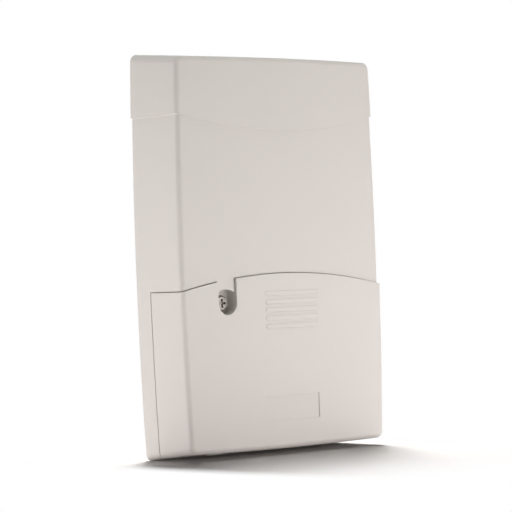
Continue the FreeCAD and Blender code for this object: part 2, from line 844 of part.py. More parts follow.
def main_board():
    body = doc.addObject("PartDesign::Body", "main_board")
    outline_sketch = sketch_in(body, "XZ_Plane", "board_outline")
    half = "board_width / 2"
    draw_polygon(outline_sketch, [("-" + half, "board_low_z"), (half, "board_low_z"),
                                  (half, "board_high_z"), ("-" + half, "board_high_z")])
    doc.recompute()
    slab = body.newObject("PartDesign::Pad", "board_slab")
    slab.Profile = outline_sketch
    slab.setExpression("Length", formula("board_thickness"))
    doc.recompute()
    holes_sketch = sketch_in(body, "XZ_Plane", "board_holes")
    for x, z in board_post_spots():
        draw_circle(holes_sketch, (x, z), "board_screw_radius + screw_hole_gap")
    draw_circle(holes_sketch, ("well_x", "well_z"), "boss_radius + board_hole_gap")
    for side in ("-antenna_x", "antenna_x"):
        draw_circle(holes_sketch, (side, "antenna_foot_z"), "antenna_radius")
    doc.recompute()
    before = body.Shape.Volume
    drilled = body.newObject("PartDesign::Pocket", "board_drilled")
    drilled.Profile = holes_sketch
    drilled.Type = "ThroughAll"
    drilled.Reversed = True
    doc.recompute()
    if body.Shape.Volume >= before:
        raise ValueError("the board's holes cut nothing")
    place(body, ("0", "board_back_y", "0"))
    keep(body, "main_board")


# Bus terminal block


def way_x(number):
    return f"terminal_x + ({number} - (way_count - 1) / 2) * way_pitch"


def terminal_block():
    housing = box("terminal_housing", ("terminal_width", "terminal_depth", "terminal_height"),
                  ("terminal_x - terminal_width / 2", "terminal_front_y", "terminal_z"))
    rooms, clamps, screws = [], [], []
    middle_z = "terminal_z + terminal_height / 2"
    for number in range(whole("way_count")):
        x = way_x(number)
        rooms.append(box("wire_room", ("wire_hole_width", "wire_hole_depth",
                                       f"terminal_height / 2 + clamp_length / 2 + {OVERRUN}"),
                         (f"{x} - wire_hole_width / 2", "clamp_y", f"terminal_z - {OVERRUN}")))
        rooms.append(rod("screw_room", "terminal_well_radius", "terminal_depth",
                         (x, "clamp_y + clamp_wall", middle_z)))
        frame = box("clamp_frame", ("wire_hole_width", "wire_hole_depth", "clamp_length"),
                    (f"{x} - wire_hole_width / 2", "clamp_y", f"{middle_z} - clamp_length / 2"))
        bore = box("clamp_bore", ("wire_hole_width - 2 * clamp_wall", "wire_hole_depth - 2 * clamp_wall",
                                  f"clamp_length + 2 * {OVERRUN}"),
                   (f"{x} - wire_hole_width / 2 + clamp_wall", "clamp_y + clamp_wall",
                    f"{middle_z} - clamp_length / 2 - {OVERRUN}"))
        thread = rod("clamp_thread", "terminal_screw_radius + thread_gap", "2 * clamp_wall",
                     (x, "clamp_y + 1.5 * clamp_wall", middle_z))
        clamps.append(cut("clamp", frame, [bore, thread]))
        screws.append(terminal_screw(x, middle_z))
    keep(cut("terminal_body", housing, rooms), "bus_terminal_block")
    keep(grouped("clamp_set", clamps), "bus_terminal_clamps")
    keep(grouped("terminal_screw_set", screws), "bus_terminal_screws")


def terminal_screw(x, z):
    """One slotted clamp screw, sunk in its well in the block's front."""
    head_base = "terminal_front_y + terminal_well_depth"
    shank = rod("terminal_shank", "terminal_screw_radius", f"clamp_y + 2 * clamp_wall - ({head_base})",
                (x, "clamp_y + 2 * clamp_wall", z))
    head = rod("terminal_head", "terminal_head_radius", "terminal_head_height", (x, head_base, z))
    head_top = f"{head_base} - terminal_head_height"
    slot = box("terminal_slot", ("2 * terminal_head_radius", "terminal_head_height / 2", "clamp_wall"),
               (f"{x} - terminal_head_radius", head_top, f"{z} - clamp_wall / 2"))
    return cut("terminal_screw", fused("terminal_screw_body", [shank, head]), [slot])


# Tamper switch: the cover's post holds the plunger in while the lower cover is on


def tamper_switch():
    x, z = "tamper_x", "tamper_z"
    half = "switch_width / 2"
    case = box("switch_case", ("switch_width", "switch_depth", "switch_width"),
               (f"{x} - {half}", "switch_front_y", f"{z} - {half}"))
    bore = rod("switch_bore", "switch_bore_radius", "switch_depth - 2 * switch_floor",
               (x, "board_front_y - switch_floor", z))
    mouth = rod("switch_mouth", "plunger_radius + plunger_gap", "switch_depth",
                (x, "shoulder_y + switch_floor", z))
    keep(cut("switch_body", case, [bore, mouth]), "tamper_switch_body")
    stem = "flange_front_y - plunger_tip_y"
    profile = [("0", "-flange_thickness"), ("flange_radius", "-flange_thickness"), ("flange_radius", "0"),
               ("plunger_radius", "0"), ("plunger_radius", f"{stem} - plunger_radius / 2"),
               ("plunger_radius / 2", stem), ("0", stem)]
    keep(lathe("plunger", profile, (x, "flange_front_y", z)), "tamper_plunger")
    room = value("board_front_y - switch_floor - (flange_front_y + flange_thickness)")
    keep(shaped("spring", coil(room)), "tamper_spring")


def coil(room):
    """The plunger's helical spring, between the bottom of the bore and the flange."""
    wire = value("spring_wire / 2")
    rise = room - 2 * wire
    helix = Part.makeHelix(rise / value("spring_turns"), rise, value("spring_radius"))
    section = Part.Wire(Part.makeCircle(wire, Vector(value("spring_radius"), 0, 0), Vector(0, 1, 0)))
    sweep = Part.Wire(helix.Edges).makePipeShell([section], True, True)
    sweep.translate(Vector(0, 0, wire))
    sweep.rotate(Vector(), Vector(1, 0, 0), 90)
    sweep.translate(Vector(value("tamper_x"), value("board_front_y - switch_floor"), value("tamper_z")))
    return sweep


# Receiver module, carried by its pin header


def receiver():
    left = "receiver_x - receiver_width / 2"
    slab = box("receiver_slab", ("receiver_width", "receiver_board_thickness", "receiver_height"),
               (left, "receiver_front_y", "receiver_low_z"))
    strip_width = "header_pins * pin_pitch"
    strip = box("header_strip", (strip_width, "receiver_standoff", "header_width"),
                (f"receiver_x - {strip_width} / 2", "receiver_back_y", "header_z - header_width / 2"))
    rooms = []
    reach = "(receiver_board_thickness + pin_end)"
    for number in range(whole("header_pins")):
        x = f"receiver_x + ({number} - (header_pins - 1) / 2) * pin_pitch"
        corner = (f"{x} - pin_side / 2", f"receiver_back_y - {reach}", "header_z - pin_side / 2")
        rooms.append((("pin_side", f"{reach} + receiver_standoff", "pin_side"), corner))
    keep(cut("receiver_card", slab, [box("card_hole", *room) for room in rooms]), "receiver_board")
    keep(cut("header_body", strip, [box("header_hole", *room) for room in rooms]), "receiver_header")
    keep(grouped("header_pin_set", [box("header_pin", *room) for room in rooms]), "receiver_header_pins")
    corner = ("receiver_x - shield_width / 2", "receiver_front_y - shield_depth",
              "receiver_high_z - shield_top_inset - shield_height")
    can = box("shield_can", ("shield_width", "shield_depth", "shield_height"), corner)
    inside = box("shield_inside", ("shield_width - 2 * shield_wall", "shield_depth",
                                   "shield_height - 2 * shield_wall"),
                 [f"{start} + shield_wall" for start in corner])
    keep(cut("shield", can, [inside]), "receiver_shield")


# Wire antennas, soldered into the board and bent upwards


def antenna(name, side):
    x = side * value("antenna_x")
    z = value("antenna_foot_z")
    back_y = value("board_back_y")
    run_y = value("board_front_y - antenna_standoff")
    bend = value("antenna_bend_radius")
    foot = Vector(x, back_y, z)
    bend_start = Vector(x, run_y + bend, z)
    halfway = bend * (1 - math.sqrt(0.5))
    bend_middle = Vector(x, run_y + halfway, z + halfway)
    bend_end = Vector(x, run_y, z + bend)
    tip = Vector(x, run_y, value("antenna_tip_z"))
    path = Part.Wire([Part.LineSegment(foot, bend_start).toShape(),
                      Part.Arc(bend_start, bend_middle, bend_end).toShape(),
                      Part.LineSegment(bend_end, tip).toShape()])
    section = Part.Wire(Part.makeCircle(value("antenna_radius"), foot, Vector(0, -1, 0)))
    keep(shaped(name + "_wire", path.makePipeShell([section], True, True)), name)


# Chips on the board


def leads(name, x, z, rows, pitch, half_body, sides):
    """Flat leads along the sides of a chip; each side is the direction that its leads point in."""
    pieces = []
    for side_x_sign, side_z_sign in sides:
        for number in range(rows):
            along = f"({number} - ({rows} - 1) / 2) * {pitch} - lead_width / 2"
            out = f"{half_body}" if side_x_sign + side_z_sign > 0 else f"-{half_body} - lead_reach"
            if side_x_sign:
                size = ("lead_reach", "lead_thickness", "lead_width")
                corner = (f"{x} + {out}", "board_front_y - lead_thickness", f"{z} + {along}")
            else:
                size = ("lead_width", "lead_thickness", "lead_reach")
                corner = (f"{x} + {along}", "board_front_y - lead_thickness", f"{z} + {out}")
            pieces.append(box(name, size, corner))
    return pieces


def chips():
    half = "processor_side / 2"
    keep(box("processor_case", ("processor_side", "processor_height", "processor_side"),
             (f"-{half}", "board_front_y - processor_height", f"processor_z - {half}")), "processor")
    around = [(1, 0), (-1, 0), (0, 1), (0, -1)]
    pieces = leads("processor_lead", "0", "processor_z", whole("lead_rows"), "lead_pitch", half, around)
    keep(grouped("processor_lead_set", pieces), "processor_leads")
    size = ("memory_width", "memory_thickness", "memory_height")
    keep(box("memory_case", size, ("memory_x - memory_width / 2", "board_front_y - memory_thickness",
                                   "memory_z - memory_height / 2")), "memory_chip")
    beside = [(1, 0), (-1, 0)]
    pieces = leads("memory_lead", "memory_x", "memory_z", whole("memory_leads"), "memory_pitch",
                   "memory_width / 2", beside)
    keep(grouped("memory_lead_set", pieces), "memory_chip_leads")


def crystal():
    radius = "crystal_width / 2"
    run = "crystal_length / 2 - crystal_width / 2"
    ends = [rod("crystal_end", radius, "crystal_height",
                (f"crystal_x + {side} * ({run})", "board_front_y", "crystal_z")) for side in (-1, 1)]
    middle = box("crystal_middle", (f"2 * ({run})", "crystal_height", "crystal_width"),
                 (f"crystal_x - ({run})", "board_front_y - crystal_height", f"crystal_z - {radius}"))
    keep(fused("crystal_can", ends + [middle]), "crystal")


def regulator():
    left = "regulator_x - regulator_width / 2"
    case = box("regulator_case", ("regulator_width", "regulator_height", "regulator_length"),
               (left, "board_front_y - regulator_height", "regulator_z"))
    tab = box("regulator_plate", ("regulator_width", "lead_thickness", "regulator_tab"),
              (left, "board_front_y - lead_thickness", "regulator_z + regulator_length"))
    keep(fused("regulator_body", [case, tab]), "voltage_regulator")


def capacitor(kind, x):
    """A grooved can that stands on the board; kind begins the names of its sizes."""
    radius, height = f"{kind}_radius", f"{kind}_height"
    waist = f"{radius} - capacitor_groove"
    groove = "capacitor_groove_height"
    profile = [("0", "0"), (radius, "0"), (radius, groove), (waist, f"{groove} + capacitor_groove"),
               (radius, f"{groove} + 2 * capacitor_groove"), (radius, f"{height} - capacitor_groove"),
               (waist, height), ("0", height)]
    return lathe(kind + "_can", profile, (x, "board_front_y", f"{kind}_z"))


def capacitors():
    keep(capacitor("big_capacitor", "big_capacitor_x"), "capacitor_large")
    small = [capacitor("small_capacitor", f"small_capacitor_x + {side} * small_capacitor_pitch / 2")
             for side in (-1, 1)]
    keep(grouped("small_can_set", small), "capacitors_small")


def lamps():
    lenses = []
    for number in range(whole("lamp_count")):
        x = f"lamp_x + {number} * lamp_pitch"
        rim = rod("lamp_rim", "lamp_radius + lamp_rim", "lamp_rim_height", (x, "board_front_y", "lamp_z"))
        stem = rod("lamp_stem", "lamp_radius", "lamp_height - lamp_radius", (x, "board_front_y", "lamp_z"))
        dome = doc.addObject("Part::Sphere", "lamp_dome")
        dome.setExpression("Radius", formula("lamp_radius"))
        place(dome, (x, "board_front_y - lamp_height + lamp_radius", "lamp_z"))
        lenses.append(fused("lamp", [rim, stem, dome]))
    keep(grouped("lamp_set", lenses), "status_lamps")


def jumpers():
    """Option pins in pairs, one above the other, each pair bridged by a cap."""
    bases, pins, caps = [], [], []
    for number in range(whole("jumper_count")):
        x = f"jumper_x + {number} * pin_pitch * 2"
        base = box("jumper_strip", ("pin_pitch", "jumper_base", "2 * pin_pitch"),
                   (f"{x} - pin_pitch / 2", "board_front_y - jumper_base", "jumper_z - pin_pitch"))
        cap = box("jumper_shell", ("pin_pitch - jumper_cap_gap", "jumper_cap_height",
                                   "2 * pin_pitch - jumper_cap_gap"),
                  (f"{x} - (pin_pitch - jumper_cap_gap) / 2",
                   "board_front_y - jumper_base - jumper_cap_height",
                   "jumper_z - pin_pitch + jumper_cap_gap / 2"))
        rooms = []
        for half in (-0.5, 0.5):
            z = f"jumper_z + {half} * pin_pitch - pin_side / 2"
            size = ("pin_side", "jumper_pin_height", "pin_side")
            corner = (f"{x} - pin_side / 2", "board_front_y - jumper_pin_height", z)
            pins.append(box("jumper_pin", size, corner))
            rooms.append((size, corner))
        bases.append(cut("jumper_foot", base, [box("jumper_foot_room", *room) for room in rooms]))
        caps.append(cut("jumper_bridge", cap, [box("jumper_cap_room", *room) for room in rooms]))
    keep(grouped("jumper_base_set", bases), "jumper_header")
    keep(grouped("jumper_pin_set", pins), "jumper_pins")
    keep(grouped("jumper_cap_set", caps), "jumper_caps")


def surface_parts():
    """Small resistors in a row and small capacitors in a column."""
    size = ("chip_length", "chip_height", "chip_width")
    front = "board_front_y - chip_height"
    row, column = [], []
    for number in range(whole("chip_count")):
        along = f"{number} * chip_pitch"
        row.append(box("resistor", size, (f"chip_row_x + {along}", front, "chip_row_z")))
        column.append(box("chip_capacitor", size, ("chip_column_x", front, f"chip_column_z + {along}")))
    keep(grouped("resistor_set", row), "resistors")
    keep(grouped("chip_capacitor_set", column), "chip_capacitors")


keep(shaped("upper_shell", upper_cover_shape()), "upper_cover")
keep(shaped("lower_shell", lower_cover_shape()), "lower_cover")
back_plate()
screws()
main_board()
terminal_block()
tamper_switch()
receiver()
antenna("antenna_left", -1)
antenna("antenna_right", 1)
chips()
crystal()
regulator()
capacitors()
lamps()
jumpers()
surface_parts()
doc.recompute()

for piece in doc.Objects:
    if "Invalid" in piece.State or "Error" in piece.State:
        raise ValueError(f"{piece.Label} is {piece.State}")
for name, piece in nodes.items():
    if piece.Shape.isNull() or not piece.Shape.isValid() or not piece.Shape.Solids:
        raise ValueError(f"{name} has no valid shape")

os.makedirs("parts", exist_ok=True)
for name, piece in nodes.items():
    piece.Shape.exportStep(f"parts/{name}.step")
    print(name, len(piece.Shape.Solids), round(piece.Shape.Volume, 2))
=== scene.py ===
import math
import bpy
from mathutils import Matrix, Vector


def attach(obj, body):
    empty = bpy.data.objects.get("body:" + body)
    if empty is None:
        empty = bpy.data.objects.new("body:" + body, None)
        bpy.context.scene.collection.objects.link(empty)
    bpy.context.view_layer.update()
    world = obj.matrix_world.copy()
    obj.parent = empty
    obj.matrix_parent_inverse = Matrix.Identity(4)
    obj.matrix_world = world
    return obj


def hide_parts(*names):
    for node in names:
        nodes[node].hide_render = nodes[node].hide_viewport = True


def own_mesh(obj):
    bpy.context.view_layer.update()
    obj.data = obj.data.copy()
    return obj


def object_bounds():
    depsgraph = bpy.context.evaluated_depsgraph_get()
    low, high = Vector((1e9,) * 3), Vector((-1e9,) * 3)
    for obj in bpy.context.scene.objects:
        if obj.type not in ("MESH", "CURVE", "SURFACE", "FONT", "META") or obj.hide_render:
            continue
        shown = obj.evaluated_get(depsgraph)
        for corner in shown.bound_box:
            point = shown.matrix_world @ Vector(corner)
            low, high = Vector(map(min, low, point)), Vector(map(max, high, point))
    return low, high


# Wireless zone expander, dressed: moulded covers, a back plate, and the boards and small parts inside.
# Metres, X to the right seen from the front, -Y out of the front face, Z up.

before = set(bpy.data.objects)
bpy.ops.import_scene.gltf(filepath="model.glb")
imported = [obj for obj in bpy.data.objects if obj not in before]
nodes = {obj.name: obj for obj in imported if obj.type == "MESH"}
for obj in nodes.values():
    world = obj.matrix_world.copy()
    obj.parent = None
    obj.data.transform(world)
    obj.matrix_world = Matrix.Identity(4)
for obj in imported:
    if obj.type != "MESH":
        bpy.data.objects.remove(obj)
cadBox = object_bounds()
print("frame loaded:", len(nodes), "nodes")


def directionFrom(azimuth, elevation):
    # Unit vector away from the box, in degrees: azimuth 0 is out of the front face, 90 is to the right
    turn, lift = math.radians(azimuth), math.radians(elevation)
    return Vector((math.sin(turn) * math.cos(lift), -math.cos(turn) * math.cos(lift), math.sin(lift)))


def newNode(tree, kind, values=None, **settings):
    # A shader node with its settings, and with values on its input sockets
    node = tree.nodes.new("ShaderNode" + kind)
    for name, setting in settings.items():
        setattr(node, name, setting)
    for socket, amount in (values or {}).items():
        node.inputs[socket].default_value = amount
    return node


# Camera, placed round the box by the angles that the photo shows

camera = {
    "lens": 167.8,          # mm
    "sensorWidth": 36,      # mm
    "clipEnd": 20,
    "lookAt": (-0.01339, -0.0135, 0.07411),
    "distance": 0.8809,
    "azimuth": -39.58,      # degrees, from the front towards the left side
    "elevation": -0.40,
    "roll": -2.16,
}


def addCamera(c):
    data = bpy.data.cameras.new("photoCamera")
    data.lens = c["lens"]
    data.sensor_width = c["sensorWidth"]
    data.clip_end = c["clipEnd"]
    obj = bpy.data.objects.new("photoCamera", data)
    bpy.context.scene.collection.objects.link(obj)
    back = directionFrom(c["azimuth"], c["elevation"])
    level = (-back).to_track_quat("-Z", "Y").to_matrix()
    spin = Matrix.Rotation(math.radians(c["roll"]), 3, "Z")
    eye = Vector(c["lookAt"]) + back * c["distance"]
    obj.matrix_world = Matrix.Translation(eye) @ (level @ spin).to_4x4()
    bpy.context.scene.camera = obj


addCamera(camera)
print("camera placed")


# Studio: a pale floor, a white surround, and soft boxes all round the box, above it and low at its foot

studio = {
    "floorSize": 6.0,
    "floorColor": (0.92, 0.915, 0.91, 1),
    "shadeMiddle": (-0.005, 0, 0),    # middle and half size of the patch that the reaches start from
    "shadeHalf": (0.040, 0.014, 0),
    "shadeStretch": (4, 1, 1),        # the shading ends sooner to the sides than to the front
    "shadeReach": 0.045,              # the floor shows its own shading out to here
    "whiteReach": 0.120,              # and is plain white beyond here
    "ambient": 0.15,
    "horizonShare": 1.0,              # the surround is this bright at eye level
    "zenithShare": 0.02,              # and this bright overhead
    "bandTop": 0.12,                  # sine of the elevation where the bright band ends
    "ambientColor": (1.0, 0.99, 0.98, 1),
}
# A row holds azimuth and elevation in degrees, distance, width, height, power in watts, colour, and
# what the box lights: the object alone or the floor alone
softBoxes = {
    "rightBox": (42, 3, 1.1, 0.5, 0.1, 1.75, (1.0, 0.995, 0.96), "object"),
    "leftBox": (-128, 3, 1.1, 0.5, 0.1, 2.35, (1.0, 0.985, 0.96), "object"),
    "backBox": (150, 8, 1.1, 0.5, 0.2, 3.4, (1.0, 0.985, 0.96), "object"),
    "shadowBox": (141, 66, 1.1, 0.3, 0.8, 16.8, (1.0, 0.98, 0.96), "floor"),
    "overBox": (-15, 80, 1.1, 0.6, 0.4, 0.4, (1.0, 1.0, 1.0), "object"),
    "groundFill": (-39, 5, 1.1, 0.6, 0.12, 2.8, (1.0, 0.93, 0.88), "floor"),
    "eyeFill": (-39, -2, 1.1, 0.5, 0.3, 0.95, (1.0, 0.99, 0.97), "object"),
    "crownFill": (30, 72, 1.1, 0.6, 0.4, 3.8, (1.0, 0.99, 0.96), "object"),
    "sideCrownFill": (-110, 72, 1.1, 0.6, 0.4, 2.8, (1.0, 0.99, 0.96), "object"),
    "footFill": (18, -10.5, 0.33, 0.3, 0.03, 0.45, (1.0, 0.94, 0.94), "object"),
    "sideFootFill": (-98, -10.5, 0.33, 0.3, 0.03, 0.34, (1.0, 0.94, 0.95), "object"),
}


def seenDirectly(tree):
    # 1 for the rays that the eye, a reflection or a clear part sends out, 0 for those that carry light
    path = newNode(tree, "LightPath")
    seen = path.outputs["Is Camera Ray"]
    for kind in ("Is Glossy Ray", "Is Transmission Ray"):
        either = newNode(tree, "Math", operation="MAXIMUM")
        tree.links.new(seen, either.inputs[0])
        tree.links.new(path.outputs[kind], either.inputs[1])
        seen = either.outputs["Value"]
    return seen


def addFloor(s):
    half = s["floorSize"] / 2
    corners = [(-half, -half, 0), (half, -half, 0), (half, half, 0), (-half, half, 0)]
    mesh = bpy.data.meshes.new("studioFloor")
    mesh.from_pydata(corners, [], [(0, 1, 2, 3)])
    obj = bpy.data.objects.new("studioFloor", mesh)
    bpy.context.scene.collection.objects.link(obj)
    mat = bpy.data.materials.new("studioFloor")
    mat.use_nodes = True
    tree = mat.node_tree
    tree.nodes.clear()
    link = tree.links.new
    out = newNode(tree, "OutputMaterial")
    paper = newNode(tree, "BsdfDiffuse", {"Color": s["floorColor"]})
    white = newNode(tree, "Emission", {"Strength": 1})
    # The distance from the patch round the box's foot decides between the shaded paper and plain white
    spot = newNode(tree, "TexCoord").outputs["Object"]
    for operation, other in (("SUBTRACT", s["shadeMiddle"]), ("ABSOLUTE", None), ("SUBTRACT", s["shadeHalf"]),
                             ("MAXIMUM", (0, 0, 0)), ("MULTIPLY", s["shadeStretch"])):
        step = newNode(tree, "VectorMath", {1: other} if other else None, operation=operation)
        link(spot, step.inputs[0])
        spot = step.outputs["Vector"]
    reach = newNode(tree, "VectorMath", operation="LENGTH")
    fade = newNode(tree, "MapRange", {"From Min": s["shadeReach"], "From Max": s["whiteReach"]},
                   interpolation_type="SMOOTHSTEP")
    both = newNode(tree, "Math", operation="MULTIPLY")
    mix = newNode(tree, "MixShader")
    link(spot, reach.inputs[0])
    link(reach.outputs["Value"], fade.inputs["Value"])
    link(fade.outputs["Result"], both.inputs[0])
    link(seenDirectly(tree), both.inputs[1])
    link(both.outputs["Value"], mix.inputs["Fac"])
    link(paper.outputs["BSDF"], mix.inputs[1])
    link(white.outputs["Emission"], mix.inputs[2])
    link(mix.outputs["Shader"], out.inputs["Surface"])
    mesh.materials.append(mat)
    return obj


def addWorld(s):
    # Light comes from a band near the horizon, and what is seen directly is plain white
    world = bpy.data.worlds.new("studioSurround")
    world.use_nodes = True
    tree = world.node_tree
    tree.nodes.clear()
    link = tree.links.new
    out = newNode(tree, "OutputWorld")
    sky = newNode(tree, "TexCoord")
    split = newNode(tree, "SeparateXYZ")
    shares = {"From Max": s["bandTop"], "To Min": s["horizonShare"] * s["ambient"],
              "To Max": s["zenithShare"] * s["ambient"]}
    band = newNode(tree, "MapRange", shares, interpolation_type="SMOOTHSTEP")
    glow = newNode(tree, "Background", {"Color": s["ambientColor"]})
    white = newNode(tree, "Background", {"Color": (1, 1, 1, 1), "Strength": 1})
    mix = newNode(tree, "MixShader")
    link(sky.outputs["Generated"], split.inputs["Vector"])
    link(split.outputs["Z"], band.inputs["Value"])
    link(band.outputs["Result"], glow.inputs["Strength"])
    link(seenDirectly(tree), mix.inputs["Fac"])
    link(glow.outputs["Background"], mix.inputs[1])
    link(white.outputs["Background"], mix.inputs[2])
    link(mix.outputs["Shader"], out.inputs["Surface"])
    bpy.context.scene.world = world


def addSoftBox(name, p, floor):
    azimuth, elevation, distance, width, height, power, color, lit = p
    lamp = bpy.data.lights.new(name, "AREA")
    lamp.shape = "RECTANGLE"
    lamp.size = width
    lamp.size_y = height
    lamp.energy = power
    lamp.color = color
    obj = bpy.data.objects.new(name, lamp)
    bpy.context.scene.collection.objects.link(obj)
    out = directionFrom(azimuth, elevation)
    obj.location = (cadBox[0] + cadBox[1]) / 2 + out * distance
    obj.rotation_mode = "QUATERNION"
    obj.rotation_quaternion = out.to_track_quat("Z", "Y")
    # The flag holds the floor, which is either all that the box lights or all that it leaves out
    flag = bpy.data.collections.new(name + "Flag")
    flag.objects.link(floor)
    flag.collection_objects[0].light_linking.link_state = "INCLUDE" if lit == "floor" else "EXCLUDE"
    obj.light_linking.receiver_collection = flag


studioFloor = addFloor(studio)
addWorld(studio)
for boxName, boxRow in softBoxes.items():
    addSoftBox(boxName, boxRow, studioFloor)
bpy.context.scene.view_settings.view_transform = "Standard"
print("studio lit by", len(softBoxes), "soft boxes")


# Shader groups that several finishes share

noises = {    # sockets of the noise textures in the groups
    "grain": {"Detail": 3, "Roughness": 0.6},
    "drift": {"Detail": 2},
    "lines": {"Scale": 1, "Detail": 2},     # its vector is scaled instead
    "stain": {"Detail": 4},
}
noiseRange = {"From Min": 0.3, "From Max": 0.7}    # nearly all of a noise lies in here
boardPattern = {
    "tracks": {"Randomness": 0.45},
    "pads": {"Randomness": 0.55},
    "gloss": {"To Min": 0.32, "To Max": 0.22},     # roughness of the laminate and of the pads
}


def newGroup(name, ins, outs):
    tree = bpy.data.node_groups.new(name, "ShaderNodeTree")
    for label, kind, start in ins:
        socket = tree.interface.new_socket(label, in_out="INPUT", socket_type="NodeSocket" + kind)
        socket.default_value = start
    for label, kind in outs:
        tree.interface.new_socket(label, in_out="OUTPUT", socket_type="NodeSocket" + kind)
    return tree, tree.nodes.new("NodeGroupInput"), tree.nodes.new("NodeGroupOutput")


def grainOutputs(tree, given, made, tone, relief):
    # One noise blends the two colours, and the other makes the gloss and the height
    link = tree.links.new
    tint = newNode(tree, "Mix", data_type="RGBA")
    gloss = newNode(tree, "MapRange", noiseRange)
    link(tone.outputs["Fac"], tint.inputs["Factor"])
    link(given.outputs["Color"], tint.inputs["A"])
    link(given.outputs["Shade"], tint.inputs["B"])
    link(relief.outputs["Fac"], gloss.inputs["Value"])
    link(given.outputs["Gloss Low"], gloss.inputs["To Min"])
    link(given.outputs["Gloss High"], gloss.inputs["To Max"])
    link(tint.outputs["Result"], made.inputs["Color"])
    link(gloss.outputs["Result"], made.inputs["Roughness"])
    link(relief.outputs["Fac"], made.inputs["Height"])


def mouldGrain():
    # Fine spark texture of a moulding tool, with slow drifts of tone where the melt cooled
    tree, given, made = newGroup(
        "mouldGrain",
        [("Color", "Color", (0.6, 0.6, 0.6, 1)), ("Shade", "Color", (0.5, 0.5, 0.5, 1)),
         ("Grain Scale", "Float", 5000.0), ("Drift Scale", "Float", 30.0),
         ("Gloss Low", "Float", 0.4), ("Gloss High", "Float", 0.5)],
        [("Color", "Color"), ("Roughness", "Float"), ("Height", "Float")])
    place = newNode(tree, "TexCoord")
    grain = newNode(tree, "TexNoise", noises["grain"])
    drift = newNode(tree, "TexNoise", noises["drift"])
    for texture, scale in ((grain, "Grain Scale"), (drift, "Drift Scale")):
        tree.links.new(place.outputs["Object"], texture.inputs["Vector"])
        tree.links.new(given.outputs[scale], texture.inputs["Scale"])
    grainOutputs(tree, given, made, tone=drift, relief=grain)
    return tree


def drawnGrain():
    # Fine lines left by drawing, rolling or turning metal, with faint stains
    tree, given, made = newGroup(
        "drawnGrain",
        [("Color", "Color", (0.6, 0.6, 0.6, 1)), ("Shade", "Color", (0.5, 0.5, 0.5, 1)),
         ("Line Scale", "Vector", (400.0, 400.0, 9000.0)), ("Stain Scale", "Float", 300.0),
         ("Gloss Low", "Float", 0.2), ("Gloss High", "Float", 0.4)],
        [("Color", "Color"), ("Roughness", "Float"), ("Height", "Float")])
    link = tree.links.new
    place = newNode(tree, "TexCoord")
    stretch = newNode(tree, "VectorMath", operation="MULTIPLY")
    lines = newNode(tree, "TexNoise", noises["lines"])
    stain = newNode(tree, "TexNoise", noises["stain"])
    link(place.outputs["Object"], stretch.inputs[0])
    link(given.outputs["Line Scale"], stretch.inputs[1])
    link(stretch.outputs["Vector"], lines.inputs["Vector"])
    link(place.outputs["Object"], stain.inputs["Vector"])
    link(given.outputs["Stain Scale"], stain.inputs["Scale"])
    grainOutputs(tree, given, made, tone=stain, relief=lines)
    return tree


def trackPattern():
    # Copper tracks under solder resist, and tinned pads, laid out in the plane of the board
    tree, given, made = newGroup(
        "trackPattern",
        [("Resist", "Color", (0.03, 0.2, 0.1, 1)), ("Track", "Color", (0.08, 0.3, 0.12, 1)),
         ("Pad", "Color", (0.7, 0.7, 0.68, 1)), ("Cell", "Float", 160.0), ("Track Width", "Float", 0.06),
         ("Pad Scale", "Float", 240.0), ("Pad Size", "Float", 0.17)],
        [("Color", "Color"), ("Metallic", "Float"), ("Roughness", "Float"), ("Height", "Float")])
    link = tree.links.new
    place = newNode(tree, "TexCoord")
    axes = newNode(tree, "SeparateXYZ")
    plane = newNode(tree, "CombineXYZ")
    cells = newNode(tree, "TexVoronoi", boardPattern["tracks"], feature="DISTANCE_TO_EDGE")
    line = newNode(tree, "MapRange", {"To Min": 1, "To Max": 0})
    dots = newNode(tree, "TexVoronoi", boardPattern["pads"])
    pad = newNode(tree, "Math", operation="LESS_THAN")
    laid = newNode(tree, "Mix", data_type="RGBA")
    tinned = newNode(tree, "Mix", data_type="RGBA")
    gloss = newNode(tree, "MapRange", boardPattern["gloss"])
    link(place.outputs["Object"], axes.inputs["Vector"])
    link(axes.outputs["X"], plane.inputs["X"])
    link(axes.outputs["Z"], plane.inputs["Y"])
    link(plane.outputs["Vector"], cells.inputs["Vector"])
    link(plane.outputs["Vector"], dots.inputs["Vector"])
    link(given.outputs["Cell"], cells.inputs["Scale"])
    link(cells.outputs["Distance"], line.inputs["Value"])
    link(given.outputs["Track Width"], line.inputs["From Max"])
    link(given.outputs["Pad Scale"], dots.inputs["Scale"])
    link(dots.outputs["Distance"], pad.inputs[0])
    link(given.outputs["Pad Size"], pad.inputs[1])
    link(line.outputs["Result"], laid.inputs["Factor"])
    link(given.outputs["Resist"], laid.inputs["A"])
    link(given.outputs["Track"], laid.inputs["B"])
    link(pad.outputs["Value"], tinned.inputs["Factor"])
    link(laid.outputs["Result"], tinned.inputs["A"])
    link(given.outputs["Pad"], tinned.inputs["B"])
    link(pad.outputs["Value"], gloss.inputs["Value"])
    link(tinned.outputs["Result"], made.inputs["Color"])
    link(pad.outputs["Value"], made.inputs["Metallic"])
    link(gloss.outputs["Result"], made.inputs["Roughness"])
    link(line.outputs["Result"], made.inputs["Height"])
    return tree


mouldGrainGroup = mouldGrain()
drawnGrainGroup = drawnGrain()
trackPatternGroup = trackPattern()
print("shader groups built")


# Finishes, one for each material of the parts

finishes = {}
edgeSamples = 6    # of the Bevel node that softens the edges


